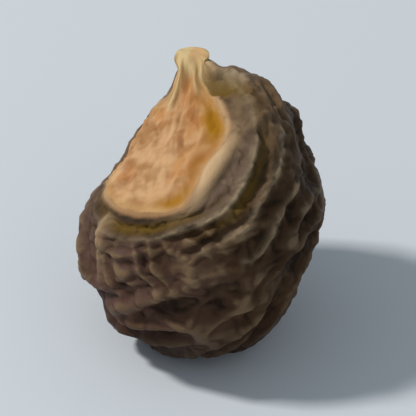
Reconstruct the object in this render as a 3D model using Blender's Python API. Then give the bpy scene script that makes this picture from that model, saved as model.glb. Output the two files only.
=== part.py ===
"""A dried soapnut, one wrinkled lobe of the soapberry's fruit, in metres with +Z up.

The nut grew in one piece: a round husk shrunk into a raised net of wrinkles, a pale scar where it
broke from its twin lobes, the lip round that scar, and the stub of the stalk, called the beak.
It lies on a small flat spot with its scar turned up and to the left, and its beak to the back.

The mesh starts as a sphere whose pole is the middle of the scar. Its rings are pulled onto the
scar's outline, and every point is then raised by formula. In the nut's own frame +Z points out of
the scar, +Y along the scar towards the beak, and +X across the scar. A polar angle is measured
from +Z, and an azimuth from +Y towards +X.
"""

import math

import bmesh
import bpy
from mathutils import Euler, Vector, noise

MM = 0.001

# The round body, longest halfway between the beak and the scar
WIDTH = 19.1 * MM
STRETCH = 1.155
STRETCH_RISE = math.radians(45)

# Its swellings and flats, each with its polar angle, azimuth, height and spread
SHOULDER = (math.radians(78), math.radians(30), 1.1 * MM, math.radians(26))
SHOULDER_SLOPE = (math.radians(92), math.radians(58), -0.8 * MM, math.radians(18))
RIGHT_FLANK = (math.radians(137), math.radians(110), -1.5 * MM, math.radians(38))
BELLY = (math.radians(98), math.radians(-135), 0.5 * MM, math.radians(30))
LEFT_FLANK = (math.radians(46), math.radians(-60), -3.0 * MM, math.radians(38))
LOBE = (math.radians(70), math.radians(-112), 0.3 * MM, math.radians(20))
BULGES = (SHOULDER, SHOULDER_SLOPE, RIGHT_FLANK, BELLY, LEFT_FLANK, LOBE)

# The scar, a pointed oval on a flat cut across the body, itself cut straight on its left
SCAR_OFFSET = 6.5 * MM
SCAR_HALF_WIDTH = 5.1 * MM
SCAR_SIDE_SHIFT = 0.4 * MM
SCAR_BOTTOM = 0.8 * MM
SCAR_POINT = 2.6 * MM
SCAR_POINT_SPREAD = math.radians(26)
SCAR_CUT = 3.75 * MM
SCAR_CUT_MIDDLE = math.radians(-62)
SCAR_CUT_SPREAD = math.radians(52)
SCAR_CUT_BLEND = 0.7 * MM
SCAR_EDGE_BLEND = 1.2 * MM

# The flesh in the scar, puffed up and narrower on the right, where a sunken strip and a raised
# rim end it. Its edge and the strip are given in shares of the way to the scar's edge.
FLESH_EDGE = 0.95
FLESH_NARROWING = 0.27
FLESH_NARROW_MIDDLE = math.radians(110)
FLESH_NARROW_SPREAD = math.radians(33)
FLESH_PUFF = 0.3 * MM
STRIP_DEPTH = 0.3 * MM
STRIP_WAY = 0.1
STRIP_WIDTH = 0.1
RIM_HEIGHT = 0.35 * MM
RIM_WAY = 0.7 * MM
RIM_WIDTH = 0.6 * MM

# The collar of husk round the scar, by its way past the scar's edge, and the grooves beside it
COLLAR_WAY = 1.35 * MM
COLLAR_RIGHT_EXTRA = 0.55 * MM
COLLAR_RIGHT_MIDDLE = math.radians(125)
COLLAR_RIGHT_SPREAD = math.radians(40)
COLLAR_HEIGHT = 0.5 * MM
COLLAR_WIDTH = 0.45 * MM
COLLAR_FAINT_MIDDLE = math.radians(-122)
COLLAR_FAINT_SPREAD = math.radians(38)
INNER_GROOVE_DEPTH = 0.35 * MM
OUTER_GROOVE_DEPTH = 0.25 * MM
GROOVE_MIDDLE = math.radians(180)
GROOVE_SPREAD = math.radians(50)
GROOVE_WIDTH = 0.35 * MM
GROOVE_TO_COLLAR = 0.7 * MM

# The beak, a stub that rises from the scar's point
BEAK_LENGTH = 2.6 * MM
BEAK_RISE = math.radians(25)
BEAK_HALF_WIDTH = 1.85 * MM
BEAK_HALF_DEPTH = 1.5 * MM
BEAK_SIDE_SHIFT = 0.8 * MM
BEAK_WAY = 7.9 * MM
BEAK_FLARE = 0.3
BEAK_ROOT = 2.0 * MM

# The wrinkles, ridges that run mostly round the scar
RIDGE_SPACING = 2.6 * MM
RIDGE_HEIGHT = 0.8 * MM
RIDGE_MEAN = 0.4
RIDGE_STRETCH = 0.4
RIDGE_WIDTH = 0.24
RIDGE_MERGING = 0.6
RIDGE_WAVE = 0.4
RIDGE_WAVE_PACE = 0.7
RIDGE_PATCH = 72.6
RIDGE_SEED = 3
RIDGE_START = 0.6 * MM
RIDGE_FULL = 2.4 * MM
RIDGE_LEFT_DELAY = 2.5 * MM

# Towards the far pole the wrinkles stop following the scar's outline, and turn low and grainless
EVEN_RIM = math.radians(40)
EVEN_START = math.radians(110)
EVEN_FULL = math.radians(170)
POLE_SPREAD = 3.2 * MM
POLE_EXCESS = 0.8
POLE_CALM = math.radians(36)

# The long ribs down the right flank, which keep alongside the collar
RIB_SPACING = 2.1 * MM
RIB_HEIGHT = 0.6 * MM
RIB_MEAN = 0.35
RIB_WIDTH = 0.19
RIB_MIDDLE = math.radians(106)
RIB_SPREAD = math.radians(46)
RIB_WAVE = 0.45
RIB_WAVE_SPACING = 3.4 * MM
RIB_BREAK_SPACING = 2.3 * MM
RIB_BREAK_PATCH = 5.5
RIB_END = 10.0 * MM

# The short flutes below the scar, which run away from it
FLUTE_SPACING = 1.75 * MM
FLUTE_LEAN = 0.3
FLUTE_HEIGHT = 0.45 * MM
FLUTE_MEAN = 0.35
FLUTE_WIDTH = 0.2
FLUTE_MIDDLE = math.radians(183)
FLUTE_SPREAD = math.radians(42)
FLUTE_WAVE = 0.7
FLUTE_WAVE_SPACING = 2.6 * MM
FLUTE_PATCH = 8.1
FLUTE_START = 1.3 * MM
FLUTE_FULL = 2.4 * MM
FLUTE_FADE = 4.5 * MM
FLUTE_END = 7.0 * MM

# The fold down the left lobe, which also runs away from the scar
LOBE_FOLD_AZIMUTH = math.radians(-147)
LOBE_FOLD_HEIGHT = 0.45 * MM
LOBE_FOLD_WIDTH = 0.45 * MM
LOBE_FOLD_FULL = 0.6 * MM
LOBE_FOLD_FADE = 2.0 * MM
LOBE_FOLD_END = 4.2 * MM

# The mesh, crowded towards the beak and the scar's edge
SEGMENTS = 104
RINGS = 57
RIM_SHARE = 0.2
RIM_CROWDING = 1.2
BEAK_CROWDING = 0.3

# How it lies
TURN = Euler((math.radians(17), math.radians(-23), math.radians(-19)))
FLAT_DEPTH = 0.9 * MM

HUSK_COLOUR = (0.085, 0.05, 0.03, 1.0)
HUSK_ROUGHNESS = 0.5


def smooth_step(low, high, value):
    share = min(1.0, max(0.0, (value - low) / (high - low)))
    return share * share * (3 - 2 * share)


def smooth_min(a, b, blend):
    share = min(1.0, max(0.0, 0.5 + 0.5 * (b - a) / blend))
    return b + (a - b) * share - blend * share * (1 - share)


def bell(value, spread):
    return math.exp(-((value / spread) ** 2))


def peak(value, spread):
    """Like a bell, but with a sharper crest and hollow flanks."""
    rounding = 0.35
    return math.exp(rounding - math.hypot(value / spread, rounding))


def turned_bell(azimuth, middle, spread):
    """A bell round an azimuth, the short way round."""
    return bell(math.remainder(azimuth - middle, math.tau), spread)


def direction(polar, azimuth):
    """The unit vector at this polar angle and azimuth."""
    out = math.sin(polar)
    return Vector((out * math.sin(azimuth), out * math.cos(azimuth), math.cos(polar)))


def body_radius(aim):
    """How far the smooth body reaches in this direction."""
    longest_way = Vector((0, math.cos(STRETCH_RISE), math.sin(STRETCH_RISE)))
    along = aim.dot(longest_way)
    radius = WIDTH / 2 / math.sqrt(1 - along**2 * (1 - 1 / STRETCH**2))
    for polar, azimuth, height, spread in BULGES:
        radius += height * bell(aim.angle(direction(polar, azimuth)), spread)
    return radius


def scar_reach(azimuth):
    """How far the scar reaches from its middle, most at its point under the beak."""
    from_point = abs(math.remainder(azimuth, math.tau))
    oval = (
        SCAR_HALF_WIDTH
        + SCAR_SIDE_SHIFT * math.sin(azimuth)
        + SCAR_BOTTOM * (1 - math.cos(azimuth)) / 2
        + SCAR_POINT * math.exp(-from_point / SCAR_POINT_SPREAD)
    )
    straight = SCAR_CUT / max(0.3, math.cos(azimuth - SCAR_CUT_MIDDLE))
    return smooth_min(oval, straight, SCAR_CUT_BLEND)


def way_past_rim(polar, rim):
    """The way over the husk from the scar's edge, level at the far pole."""
    even = smooth_step(EVEN_START, EVEN_FULL, polar)
    from_pole = (math.pi - polar) * WIDTH / 2
    past_rim = (polar - rim - even * (EVEN_RIM - rim)) * WIDTH / 2
    return past_rim + from_pole * bell(from_pole, POLE_SPREAD)


def right_share(azimuth):
    return turned_bell(azimuth, FLESH_NARROW_MIDDLE, FLESH_NARROW_SPREAD)


def left_share(azimuth):
    return turned_bell(azimuth, SCAR_CUT_MIDDLE, SCAR_CUT_SPREAD)


def collar_way(azimuth):
    """How far past the scar's edge the collar runs."""
    right = turned_bell(azimuth, COLLAR_RIGHT_MIDDLE, COLLAR_RIGHT_SPREAD)
    return COLLAR_WAY + COLLAR_RIGHT_EXTRA * right


def scar_relief(beyond, azimuth, reach, past_rim):
    """The height of the flesh, strip, rim, grooves and collar, with beyond 1 at the scar's edge."""
    right = right_share(azimuth)
    left = left_share(azimuth)
    edge = FLESH_EDGE - FLESH_NARROWING * right
    height = FLESH_PUFF * max(0.0, 1 - (beyond / edge) ** 2)
    height -= STRIP_DEPTH * right * bell(beyond - edge + STRIP_WAY, STRIP_WIDTH)
    height += RIM_HEIGHT * right * bell((beyond - edge) * reach - RIM_WAY, RIM_WIDTH)

    past_collar = past_rim - collar_way(azimuth)
    inner = max(turned_bell(azimuth, GROOVE_MIDDLE, GROOVE_SPREAD), 0.35 * (1 - left))
    outer = turned_bell(azimuth, COLLAR_RIGHT_MIDDLE, COLLAR_RIGHT_SPREAD)
    height -= INNER_GROOVE_DEPTH * inner * bell(past_collar + GROOVE_TO_COLLAR, GROOVE_WIDTH)
    height -= OUTER_GROOVE_DEPTH * outer * bell(past_collar - GROOVE_TO_COLLAR, GROOVE_WIDTH)
    strength = (1 - left) * (1 - 0.6 * turned_bell(azimuth, COLLAR_FAINT_MIDDLE, COLLAR_FAINT_SPREAD))
    return height + COLLAR_HEIGHT * strength * peak(past_collar, COLLAR_WIDTH)


def noise_slope(place, height):
    """How steep the noise is at this place, where it has this height."""
    steps = (Vector((0.05, 0, 0)), Vector((0, 0.05, 0)), Vector((0, 0, 0.05)))
    return Vector([(noise.noise(place + step) - height) / step.length for step in steps]).length


def ridge_net(polar, azimuth, past_rim):
    """The raised net of wrinkles, 0 in a valley and 1 on a crest.

    The crests lie where a stretched noise is zero, and its slope evens out their width.
    """
    near_pole = bell((math.pi - polar) * WIDTH / 2, POLE_SPREAD)
    ring = math.sin(polar) * WIDTH / 2 * RIDGE_STRETCH * (1 + POLE_EXCESS * near_pole)
    place = Vector((ring * math.sin(azimuth), ring * math.cos(azimuth), past_rim)) / RIDGE_SPACING
    place.x += RIDGE_PATCH
    place += RIDGE_WAVE * noise.noise_vector(place * RIDGE_WAVE_PACE)
    height = noise.noise(place)
    return bell(height / math.hypot(noise_slope(place, height), RIDGE_MERGING), RIDGE_WIDTH)


def long_ribs(place, azimuth, past_rim):
    """The ribs of the right flank, 0 between them and 1 on a crest, and their share of it."""
    past_collar = (past_rim - collar_way(azimuth)) / RIB_SPACING
    share = turned_bell(azimuth, RIB_MIDDLE, RIB_SPREAD)
    share *= smooth_step(0.15, 0.5, past_collar) * smooth_step(RIB_END, 0.6 * RIB_END, past_rim)
    wave = RIB_WAVE * smooth_step(0, 2, past_collar) * noise.noise(place / RIB_WAVE_SPACING)
    gap = noise.noise(place / RIB_BREAK_SPACING + Vector((RIB_BREAK_PATCH, 0, 0)))
    whole = max(smooth_step(-0.35, 0.15, gap), smooth_step(1.6, 1.2, past_collar))
    return peak(math.remainder(past_collar + wave, 1), RIB_WIDTH) * whole, share


def short_flutes(place, azimuth, past_rim):
    """The flutes below the scar, 0 between them and 1 on a crest, and their share of the belly."""
    away = math.remainder(azimuth - FLUTE_MIDDLE, math.tau)
    share = bell(away, FLUTE_SPREAD)
    share *= smooth_step(FLUTE_START, FLUTE_FULL, past_rim)
    share *= smooth_step(FLUTE_END, FLUTE_FADE, past_rim)
    wave = noise.noise(place / FLUTE_WAVE_SPACING + Vector((0, FLUTE_PATCH, 0)))
    phase = (away * WIDTH / 2 + FLUTE_LEAN * past_rim) / FLUTE_SPACING + FLUTE_WAVE * wave
    return peak(math.remainder(phase, 1), FLUTE_WIDTH), share


def lobe_fold(polar, azimuth, past_rim):
    """The fold down the left lobe, 0 beside it and 1 on its crest."""
    away = math.remainder(azimuth - LOBE_FOLD_AZIMUTH, math.tau) * math.sin(polar) * WIDTH / 2
    length = smooth_step(0, LOBE_FOLD_FULL, past_rim) * smooth_step(LOBE_FOLD_END, LOBE_FOLD_FADE, past_rim)
    return peak(away, LOBE_FOLD_WIDTH) * length


def husk_relief(aim, polar, azimuth, past_rim):
    """The height of all the husk's wrinkles. The net is calmer where ribs or flutes take over."""
    place = aim * WIDTH / 2
    start = RIDGE_START + RIDGE_LEFT_DELAY * left_share(azimuth)
    wrinkled = smooth_step(start, start + RIDGE_FULL - RIDGE_START, past_rim)
    rib, ribbed = long_ribs(place, azimuth, past_rim)
    flute, fluted = short_flutes(place, azimuth, past_rim)
    wrinkled *= smooth_step(0, POLE_CALM, math.pi - polar)
    net = wrinkled * (ridge_net(polar, azimuth, past_rim) - RIDGE_MEAN)
    height = RIDGE_HEIGHT * net * (1 - 0.5 * ribbed) * (1 - 0.75 * fluted)
    height += RIB_HEIGHT * ribbed * (rib - RIB_MEAN)
    height += FLUTE_HEIGHT * fluted * (flute - FLUTE_MEAN)
    return height + LOBE_FOLD_HEIGHT * lobe_fold(polar, azimuth, past_rim)


def with_beak(point):
    """Draws the point out into the squarish beak if it lies near the beak's foot."""
    side = (point.x - BEAK_SIDE_SHIFT) / BEAK_HALF_WIDTH
    front = (point.y - BEAK_WAY) / BEAK_HALF_DEPTH
    rise = math.exp(-(side**4 + side**2 * front**2 + front**4))
    rise *= smooth_step(-BEAK_ROOT, BEAK_ROOT, point.z)
    flare = Vector((BEAK_FLARE * (point.x - BEAK_SIDE_SHIFT), 0, 0))
    length = BEAK_LENGTH * Vector((0, math.cos(BEAK_RISE), math.sin(BEAK_RISE)))
    return point + rise * (flare + length)


def nut_point(azimuth, sweep):
    """A point of the nut, with sweep from 0 at the scar's middle to 1 at the far pole."""
    reach = scar_reach(azimuth)
    rim = math.atan2(reach, SCAR_OFFSET)
    if sweep < RIM_SHARE:
        polar = math.atan2(reach * sweep / RIM_SHARE, SCAR_OFFSET)
    else:
        polar = rim + (math.pi - rim) * ((sweep - RIM_SHARE) / (1 - RIM_SHARE)) ** RIM_CROWDING
    aim = direction(polar, azimuth)

    radius = body_radius(aim)
    beyond = 3.0
    if aim.z > SCAR_OFFSET / WIDTH:
        radius = smooth_min(radius, SCAR_OFFSET / aim.z, SCAR_EDGE_BLEND)
        beyond = SCAR_OFFSET * math.tan(polar) / reach
    past_rim = way_past_rim(polar, rim)
    lift = scar_relief(beyond, azimuth, reach, past_rim)
    if past_rim > 0:
        point = (radius + lift + husk_relief(aim, polar, azimuth, past_rim)) * aim
    else:
        point = radius * aim + Vector((0, 0, lift))
    return with_beak(point)


def nut_mesh():
    """A sphere primitive whose rings and segments are moved onto the nut."""
    shape = bmesh.new()
    bmesh.ops.create_uvsphere(shape, u_segments=SEGMENTS, v_segments=RINGS, radius=1)
    for vertex in shape.verts:
        azimuth = math.atan2(vertex.co.x, vertex.co.y)
        sweep = math.acos(max(-1.0, min(1.0, vertex.co.z))) / math.pi
        vertex.co = nut_point(azimuth - BEAK_CROWDING * math.sin(azimuth), sweep)
    mesh = bpy.data.meshes.new("soapnut")
    shape.to_mesh(mesh)
    shape.free()
    return mesh


def lay_down(mesh):
    """Turns the nut as it lies, and flattens its underside to the spot that it rests on."""
    mesh.transform(TURN.to_matrix().to_4x4())
    floor = min(vertex.co.z for vertex in mesh.vertices) + FLAT_DEPTH
    for vertex in mesh.vertices:
        vertex.co.z = max(0.0, vertex.co.z - floor)


def husk_material():
    """Dried husk, brown and leathery with a dull sheen."""
    material = bpy.data.materials.new("husk")
    material.use_nodes = True
    surface = material.node_tree.nodes["Principled BSDF"]
    surface.inputs["Base Color"].default_value = HUSK_COLOUR
    surface.inputs["Roughness"].default_value = HUSK_ROUGHNESS
    surface.inputs["Metallic"].default_value = 0.0
    return material


def main():
    for thing in list(bpy.data.objects):
        bpy.data.objects.remove(thing)
    group = bpy.data.collections.new("soapnut")
    bpy.context.scene.collection.children.link(group)

    noise.seed_set(RIDGE_SEED)
    mesh = nut_mesh()
    lay_down(mesh)
    mesh.shade_smooth()
    mesh.materials.append(husk_material())
    nut = bpy.data.objects.new("soapnut", mesh)
    group.objects.link(nut)


main()
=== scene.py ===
"""One dried soapnut on a plain pale floor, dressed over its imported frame. Metres, with +Z up."""

import math

import bmesh
import bpy
from mathutils import Euler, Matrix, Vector, noise


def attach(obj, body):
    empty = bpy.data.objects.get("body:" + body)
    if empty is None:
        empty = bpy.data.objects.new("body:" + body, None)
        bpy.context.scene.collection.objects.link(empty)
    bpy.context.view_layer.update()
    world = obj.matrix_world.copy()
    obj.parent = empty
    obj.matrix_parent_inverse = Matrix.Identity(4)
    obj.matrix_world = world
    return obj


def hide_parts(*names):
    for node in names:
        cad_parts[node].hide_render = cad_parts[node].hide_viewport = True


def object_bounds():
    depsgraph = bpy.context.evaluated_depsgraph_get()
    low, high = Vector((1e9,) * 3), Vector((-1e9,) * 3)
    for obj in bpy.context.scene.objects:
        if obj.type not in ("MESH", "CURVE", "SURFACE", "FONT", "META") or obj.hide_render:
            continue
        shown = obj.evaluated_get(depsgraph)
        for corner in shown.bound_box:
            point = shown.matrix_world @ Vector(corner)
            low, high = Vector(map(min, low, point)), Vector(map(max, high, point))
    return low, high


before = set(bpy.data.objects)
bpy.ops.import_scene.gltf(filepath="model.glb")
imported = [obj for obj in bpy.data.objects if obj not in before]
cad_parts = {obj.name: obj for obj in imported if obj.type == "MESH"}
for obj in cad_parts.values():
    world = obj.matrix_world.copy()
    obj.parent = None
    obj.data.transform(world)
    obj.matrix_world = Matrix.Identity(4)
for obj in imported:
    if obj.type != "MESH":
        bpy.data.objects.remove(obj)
cad_low, cad_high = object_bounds()

# The husk: the leathery rind of one lobe of the soapberry's fruit, grown as one piece with its scar
# and beak. It was round and smooth, and shrank into ridges, folds and creases as it dried.

# In the nut's own axes +Z points out of the scar, +Y along it to the beak, and +X across it. A polar
# angle is measured from +Z, and an azimuth from +Y towards +X. A sector is what lies on one side of
# the nut: its middle azimuth and its spread.
MM = 0.001
HUSK_WIDTH = 19.1 * MM
HUSK_RADIUS = HUSK_WIDTH / 2
HUSK_STRETCH = 1.155
HUSK_STRETCH_RISE = math.radians(45)

# Each swelling or flat has its polar angle, azimuth, height and spread
SHOULDER = (math.radians(78), math.radians(30), 0.85 * MM, math.radians(26))
SHOULDER_SLOPE = (math.radians(92), math.radians(58), -0.8 * MM, math.radians(18))
RIGHT_FLANK = (math.radians(137), math.radians(110), -1.5 * MM, math.radians(38))
BELLY = (math.radians(98), math.radians(-135), 0.5 * MM, math.radians(30))
LEFT_FLANK = (math.radians(46), math.radians(-60), -3.0 * MM, math.radians(38))
LOBE = (math.radians(70), math.radians(-112), 0.3 * MM, math.radians(20))
BULGES = (SHOULDER, SHOULDER_SLOPE, RIGHT_FLANK, BELLY, LEFT_FLANK, LOBE)

# A net is where a noise is zero, and its slope is taken over a small step
SLOPE_STEP = 0.05
NET_MERGING = 0.6
NET_WAVE = 0.4
NET_WAVE_PACE = 0.7
PEAK_ROUNDING = 0.35
PEAK_MEAN = 0.3

# The net of ridges, which runs mostly round the scar and starts later on the left
RIDGE_SPACING = 2.6 * MM
RIDGE_HEIGHT = 0.8 * MM
RIDGE_MEAN = 0.33
RIDGE_STRETCH = 0.4
RIDGE_WIDTH = 0.17
RIDGE_PATCH = 72.6
RIDGE_SEED = 3
RIDGE_START = 0.6 * MM
RIDGE_FULL = 2.4 * MM
RIDGE_LEFT_DELAY = 2.5 * MM
RIDGE_LEFT_SECTOR = (math.radians(-62), math.radians(50))

# Towards the far pole the wrinkles stop following the scar's outline, and turn low and calm
EVEN_RIM = math.radians(40)
EVEN_START = math.radians(110)
EVEN_FULL = math.radians(170)
POLE_SPREAD = 3.2 * MM
POLE_EXCESS = 0.8
POLE_CALM = math.radians(36)
POLE_FOLDS = 0.4
POLE_CREASES = 0.3
POLE_FOLD_PALENESS = 0.2

# The finer folds between the ridges, the creases between the folds, and the grain of the skin
FOLD_SPACING = 1.3 * MM
FOLD_HEIGHT = 0.23 * MM
FOLD_STRETCH = 0.5
FOLD_WIDTH = 0.17
FOLD_PATCH = 31.4
CREASE_SPACING = 0.95 * MM
CREASE_DEPTH = 0.16 * MM
CREASE_STRETCH = 0.7
CREASE_WIDTH = 0.13
CREASE_PATCH = 11.9
CREASE_RIDGE_LOSS = 0.5
GRAIN_SPACING = 0.45 * MM
GRAIN_DEPTH = 0.035 * MM
GRAIN_START = 0.1 * MM
GRAIN_LAYERS = (1.0, 2.0, 3)

# The collar, a ridge round the scar, by its way past the scar's edge, and where it is fainter
COLLAR_WAY = 1.35 * MM
COLLAR_HEIGHT = 0.5 * MM
COLLAR_WIDTH = 0.3 * MM
COLLAR_WAVE = 0.25 * MM
COLLAR_WAVE_PACE = 2.0
COLLAR_PATCH = 4.2
COLLAR_STRENGTH = 0.75
COLLAR_RIGHT_SECTOR = (math.radians(125), math.radians(40))
COLLAR_RIGHT_WAY = 0.55 * MM
COLLAR_RIGHT_STRENGTH = 0.3
COLLAR_UPPER_SECTOR = (math.radians(55), 0.7)
COLLAR_UPPER_LOSS = 0.45
COLLAR_LEFT_SECTOR = (math.radians(-60), 0.85)
COLLAR_LEFT_LOSS = 0.7
COLLAR_LOBE_SECTOR = (math.radians(-122), math.radians(38))
COLLAR_LOBE_LOSS = 0.6

# The long ribs down the right flank, which keep alongside the collar. Their start, their first rib
# and their wave are in rib spacings past the collar.
RIB_SPACING = 2.1 * MM
RIB_HEIGHT = 0.55 * MM
RIB_WIDTH = 0.15
RIB_SECTOR = (math.radians(106), math.radians(46))
RIB_START = 0.15
RIB_FULL = 0.5
RIB_END = 10.0 * MM
RIB_FADE = 0.6 * RIB_END
RIB_WAVE = 0.45
RIB_WAVE_FULL = 2
RIB_WAVE_SPACING = 3.4 * MM
RIB_BREAK_SPACING = 2.3 * MM
RIB_BREAK_PATCH = Vector((5.5, 0, 0))
RIB_BROKEN = -0.35
RIB_UNBROKEN = 0.15
FIRST_RIB_UNBROKEN = 1.2
FIRST_RIB_END = 1.6

# The round cells of the upper right shoulder
CELL_SPACING = 1.7 * MM
CELL_HEIGHT = 0.3 * MM
CELL_WIDTH = 0.16
CELL_SECTOR = (math.radians(52), math.radians(42))
CELL_START = 0.2 * MM
CELL_FULL = 1.2 * MM
CELL_END = 11.0 * MM
CELL_FADE = 0.4 * CELL_END

# The short flutes below the scar, which run away from it
FLUTE_SPACING = 1.75 * MM
FLUTE_HEIGHT = 0.45 * MM
FLUTE_WIDTH = 0.18
FLUTE_LEAN = 0.3
FLUTE_SECTOR = (math.radians(183), math.radians(42))
FLUTE_START = 1.3 * MM
FLUTE_FULL = 2.4 * MM
FLUTE_FADE = 4.5 * MM
FLUTE_END = 7.0 * MM
FLUTE_WAVE = 0.7
FLUTE_WAVE_SPACING = 2.6 * MM
FLUTE_PATCH = Vector((0, 8.1, 0))

# The pale fold down the left lobe
LOBE_FOLD_AZIMUTH = math.radians(-143)
LOBE_FOLD_HEIGHT = 0.55 * MM
LOBE_FOLD_WIDTH = 0.4 * MM
LOBE_FOLD_FULL = 0.6 * MM
LOBE_FOLD_FADE = 2 * MM
LOBE_FOLD_END = 6.5 * MM
LOBE_FOLD_WAVE = 0.25 * MM
LOBE_FOLD_WAVE_SPACING = 1.5 * MM

# How far the ridges and the folds lie down among the ribs, the cells and the flutes
RIDGES_LIE_DOWN = (0.5, 0.5, 0.75)
FOLDS_LIE_DOWN = (0.5, 0.6, 0.6)

# How pale the crest of each kind of wrinkle is, partly worn skin and partly painted sheen, and how
# dark a crease is, which is painted shade
RIDGE_PALENESS = 0.65
FOLD_PALENESS = 0.4
FOLD_RIB_LOSS = 0.6
RIB_PALENESS = 0.8
FLUTE_PALENESS = 0.7
CELL_PALENESS = 0.4
CREASE_PAINTED_SHADE = 0.3


def smooth_step(low, high, value):
    share = min(1.0, max(0.0, (value - low) / (high - low)))
    return share * share * (3 - 2 * share)


def smooth_min(a, b, blend):
    share = min(1.0, max(0.0, 0.5 + 0.5 * (b - a) / blend))
    return b + (a - b) * share - blend * share * (1 - share)


def bell(value, spread):
    return math.exp(-((value / spread) ** 2))


def peak(value, spread):
    """Like a bell, but with a sharper crest and hollow flanks."""
    return math.exp(PEAK_ROUNDING - math.hypot(value / spread, PEAK_ROUNDING))


def in_sector(azimuth, sector):
    """1 in the sector's middle, and less away from it, the short way round."""
    middle, spread = sector
    return bell(math.remainder(azimuth - middle, math.tau), spread)


def direction(polar, azimuth):
    out = math.sin(polar)
    return Vector((out * math.sin(azimuth), out * math.cos(azimuth), math.cos(polar)))


def husk_radius(aim):
    """How far the smooth husk reaches in this direction."""
    longest_way = Vector((0, math.cos(HUSK_STRETCH_RISE), math.sin(HUSK_STRETCH_RISE)))
    along = aim.dot(longest_way)
    radius = HUSK_RADIUS / math.sqrt(1 - along**2 * (1 - 1 / HUSK_STRETCH**2))
    for polar, azimuth, height, spread in BULGES:
        radius += height * bell(aim.angle(direction(polar, azimuth)), spread)
    return radius


def net(place, width, profile):
    """Lines where the noise is zero: 1 on a line and 0 away from it, evened out by its slope."""
    height = noise.noise(place)
    steps = (Vector((SLOPE_STEP, 0, 0)), Vector((0, SLOPE_STEP, 0)), Vector((0, 0, SLOPE_STEP)))
    slope = Vector([(noise.noise(place + step) - height) / step.length for step in steps]).length
    return profile(height / math.hypot(slope, NET_MERGING), width)


def ring_net(polar, azimuth, past_rim, spacing, stretch, width, patch, profile=bell):
    """A net whose lines run mostly round the scar."""
    near_pole = bell((math.pi - polar) * HUSK_RADIUS, POLE_SPREAD)
    ring = math.sin(polar) * HUSK_RADIUS * stretch * (1 + POLE_EXCESS * near_pole)
    place = Vector((ring * math.sin(azimuth), ring * math.cos(azimuth), past_rim)) / spacing
    place.x += patch
    place += NET_WAVE * noise.noise_vector(place * NET_WAVE_PACE)
    return net(place, width, profile)


def way_past_rim(polar, rim):
    """The way over the husk from the scar's edge, level at the far pole."""
    even = smooth_step(EVEN_START, EVEN_FULL, polar)
    from_pole = (math.pi - polar) * HUSK_RADIUS
    past_rim = (polar - rim - even * (EVEN_RIM - rim)) * HUSK_RADIUS
    return past_rim + from_pole * bell(from_pole, POLE_SPREAD)


def collar_way(azimuth):
    """How far past the scar's edge the collar runs."""
    extra = COLLAR_RIGHT_WAY * in_sector(azimuth, COLLAR_RIGHT_SECTOR)
    wave = COLLAR_WAVE * noise.noise(Vector((azimuth * COLLAR_WAVE_PACE, 0, COLLAR_PATCH)))
    return COLLAR_WAY + extra + wave


def collar(azimuth, past_rim):
    """The collar's height from 0 to 1, and how strong it is at this azimuth."""
    strength = COLLAR_STRENGTH + COLLAR_RIGHT_STRENGTH * in_sector(azimuth, COLLAR_RIGHT_SECTOR)
    strength -= COLLAR_UPPER_LOSS * in_sector(azimuth, COLLAR_UPPER_SECTOR)
    strength -= COLLAR_LEFT_LOSS * in_sector(azimuth, COLLAR_LEFT_SECTOR)
    strength *= 1 - COLLAR_LOBE_LOSS * in_sector(azimuth, COLLAR_LOBE_SECTOR)
    return peak(past_rim - collar_way(azimuth), COLLAR_WIDTH), strength


def long_ribs(azimuth, past_rim, place):
    """The ribs down the right flank: how raised, and how much of the flank they take up."""
    past_collar = (past_rim - collar_way(azimuth)) / RIB_SPACING
    share = in_sector(azimuth, RIB_SECTOR)
    share *= smooth_step(RIB_START, RIB_FULL, past_collar) * smooth_step(RIB_END, RIB_FADE, past_rim)
    wave = RIB_WAVE * smooth_step(0, RIB_WAVE_FULL, past_collar)
    wave *= noise.noise(place / RIB_WAVE_SPACING)
    patch = noise.noise(place / RIB_BREAK_SPACING + RIB_BREAK_PATCH)
    whole = smooth_step(RIB_BROKEN, RIB_UNBROKEN, patch)
    whole = max(whole, smooth_step(FIRST_RIB_END, FIRST_RIB_UNBROKEN, past_collar))
    return peak(math.remainder(past_collar + wave, 1), RIB_WIDTH) * whole, share


def short_flutes(azimuth, past_rim, place):
    """The flutes below the scar: how raised, and how much of the belly they take up."""
    share = in_sector(azimuth, FLUTE_SECTOR)
    share *= smooth_step(FLUTE_START, FLUTE_FULL, past_rim)
    share *= smooth_step(FLUTE_END, FLUTE_FADE, past_rim)
    sideways = math.remainder(azimuth - FLUTE_SECTOR[0], math.tau) * HUSK_RADIUS
    phase = (sideways + FLUTE_LEAN * past_rim) / FLUTE_SPACING
    phase += FLUTE_WAVE * noise.noise(place / FLUTE_WAVE_SPACING + FLUTE_PATCH)
    return peak(math.remainder(phase, 1), FLUTE_WIDTH), share


def fold_of_lobe(polar, azimuth, past_rim, place):
    """The fold down the left lobe, 1 on its crest and 0 beside it."""
    sideways = math.remainder(azimuth - LOBE_FOLD_AZIMUTH, math.tau) * HUSK_RADIUS * math.sin(polar)
    wave = LOBE_FOLD_WAVE * noise.noise(place / LOBE_FOLD_WAVE_SPACING)
    started = smooth_step(0, LOBE_FOLD_FULL, past_rim)
    return peak(sideways + wave, LOBE_FOLD_WIDTH) * (
        started * smooth_step(LOBE_FOLD_END, LOBE_FOLD_FADE, past_rim)
    )


def lain_down(height, amounts, shares):
    """What is left of the height among the ribs, the cells and the flutes."""
    for amount, share in zip(amounts, shares):
        height *= 1 - amount * share
    return height


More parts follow.
